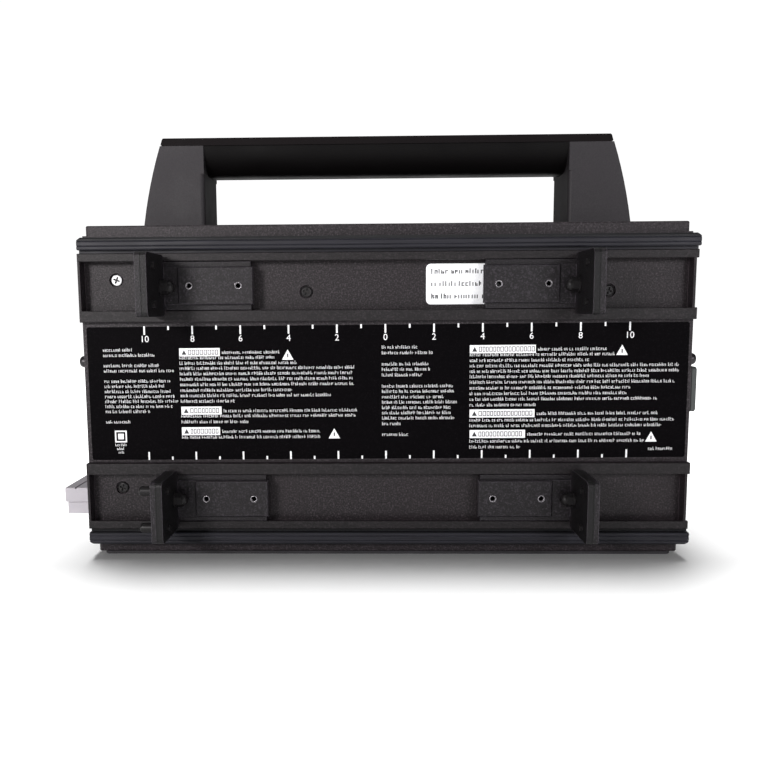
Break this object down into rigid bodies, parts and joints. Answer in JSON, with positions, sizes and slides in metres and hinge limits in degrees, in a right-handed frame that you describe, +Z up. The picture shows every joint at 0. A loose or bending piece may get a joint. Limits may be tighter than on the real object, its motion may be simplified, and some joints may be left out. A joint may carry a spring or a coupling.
{
  "type": "car battery charger",
  "caption": "Boxy metal-cased car battery charger with a top carrying handle, rear mounting rails with sliding brackets, a two-pole output connector and a mains inlet.",
  "frame": {"origin": "middle of the case's footprint, on the face that the base pad stands on", "axes": "+Z up, -Y out of the labelled rear face with the rails, +Y out of the control side, +X to the right when looking at the rear face"},
  "size_m": [0.4296, 0.2491, 0.2787],
  "materials": {
    "case_coat": "black textured powder coat",
    "trim_coat": "smooth satin black coat",
    "bracket_coat": "satin black coat on steel",
    "handle_plastic": "fine-grained black moulded plastic",
    "base_rubber": "black rubber sheet",
    "label_film": "black laminated film with white print",
    "sticker_film": "white paper sticker",
    "connector_plastic": "light grey moulded plastic",
    "inlet_plastic": "black moulded plastic",
    "bezel_plastic": "dark grey moulded plastic",
    "fascia_plastic": "fine-grained dark plastic",
    "lens_plastic": "smoked polished window",
    "lamp_plastic": "clear tinted light pipe",
    "button_plastic": "satin grey keycap",
    "rocker_plastic": "polished black rocker",
    "black_steel": "black oxide steel",
    "zinc_steel": "bright zinc-plated steel",
    "copper": "bare copper",
    "tinned_metal": "tin-plated brass",
    "circuit_board": "green solder mask",
    "bare_aluminium": "extruded aluminium",
    "ferrite": "sintered grey ferrite",
    "magnet_wire": "enamelled copper wire",
    "epoxy": "black moulded epoxy",
    "can_sleeve": "dark sleeve on an aluminium can",
    "fan_plastic": "black moulded plastic"
  },
  "bodies": {
    "case": {"base_pad": "base_rubber", "base_tray": "case_coat", "top_lid": "case_coat", "left_side_panel": "case_coat", "right_side_panel": "case_coat", "rear_panel": "case_coat", "front_panel": "case_coat", "upper_rail": "case_coat", "lower_rail": "case_coat", "upper_trim": "trim_coat", "lower_trim": "trim_coat", "rail_screws": "black_steel", "side_screws": "black_steel", "rating_label": "label_film", "serial_sticker": "sticker_film", "handle_frame": "handle_plastic", "handle_cap": "handle_plastic", "handle_screws": "zinc_steel", "control_fascia": "fascia_plastic", "display_lens": "lens_plastic", "display_module": "circuit_board", "indicator_lenses": "lamp_plastic", "control_board": "circuit_board", "rocker_frame": "inlet_plastic", "ac_inlet": "inlet_plastic", "ac_inlet_bezel": "bezel_plastic", "ac_inlet_pins": "tinned_metal", "dc_connector_housing": "connector_plastic", "dc_contacts": "copper", "main_board": "circuit_board", "board_standoffs": "zinc_steel", "heatsinks": "bare_aluminium", "power_transistors": "epoxy", "transformer_core": "ferrite", "transformer_winding": "magnet_wire", "output_choke": "magnet_wire", "bulk_capacitors": "can_sleeve", "fan_frame": "fan_plastic", "fan_grille": "black_steel"},
    "fan_rotor": {"fan_rotor": "fan_plastic"},
    "power_rocker": {"power_rocker": "rocker_plastic"},
    "mode_button": {"mode_button": "button_plastic"},
    "plus_button": {"plus_button": "button_plastic"},
    "minus_button": {"minus_button": "button_plastic"},
    "upper_left_bracket": {"upper_left_shoe": "bracket_coat", "upper_left_arm": "bracket_coat", "upper_left_pad": "bracket_coat", "upper_left_fasteners": "zinc_steel"},
    "lower_left_bracket": {"lower_left_shoe": "bracket_coat", "lower_left_arm": "bracket_coat", "lower_left_pad": "bracket_coat", "lower_left_fasteners": "zinc_steel"},
    "upper_right_bracket": {"upper_right_shoe": "bracket_coat", "upper_right_arm": "bracket_coat", "upper_right_pad": "bracket_coat", "upper_right_fasteners": "zinc_steel"},
    "lower_right_bracket": {"lower_right_shoe": "bracket_coat", "lower_right_arm": "bracket_coat", "lower_right_pad": "bracket_coat", "lower_right_fasteners": "zinc_steel"}
  },
  "joints": [
    {"name": "upper_left_slide", "type": "slide", "parent": "case", "child": "upper_left_bracket", "axis": [1, 0, 0], "range_m": [-0.0445, 0.077]},
    {"name": "lower_left_slide", "type": "slide", "parent": "case", "child": "lower_left_bracket", "axis": [1, 0, 0], "range_m": [-0.049, 0.07]},
    {"name": "upper_right_slide", "type": "slide", "parent": "case", "child": "upper_right_bracket", "axis": [1, 0, 0], "range_m": [-0.0555, 0.0635]},
    {"name": "lower_right_slide", "type": "slide", "parent": "case", "child": "lower_right_bracket", "axis": [1, 0, 0], "range_m": [-0.053, 0.0635]},
    {"name": "fan_spin", "type": "hinge", "parent": "case", "child": "fan_rotor", "pos_m": [-0.175, 0.025, 0.118], "axis": [1, 0, 0], "continuous": true},
    {"name": "mode_button_press", "type": "slide", "parent": "case", "child": "mode_button", "axis": [0, -1, 0], "range_m": [0, 0.0015], "stiffness_N_per_m": 800},
    {"name": "plus_button_press", "type": "slide", "parent": "case", "child": "plus_button", "axis": [0, -1, 0], "range_m": [0, 0.0015], "stiffness_N_per_m": 800},
    {"name": "minus_button_press", "type": "slide", "parent": "case", "child": "minus_button", "axis": [0, -1, 0], "range_m": [0, 0.0015], "stiffness_N_per_m": 800},
    {"name": "rocker_tilt", "type": "hinge", "parent": "case", "child": "power_rocker", "pos_m": [-0.092, 0.1015, 0.122], "axis": [1, 0, 0], "range_deg": [0, 16]}
  ]
}
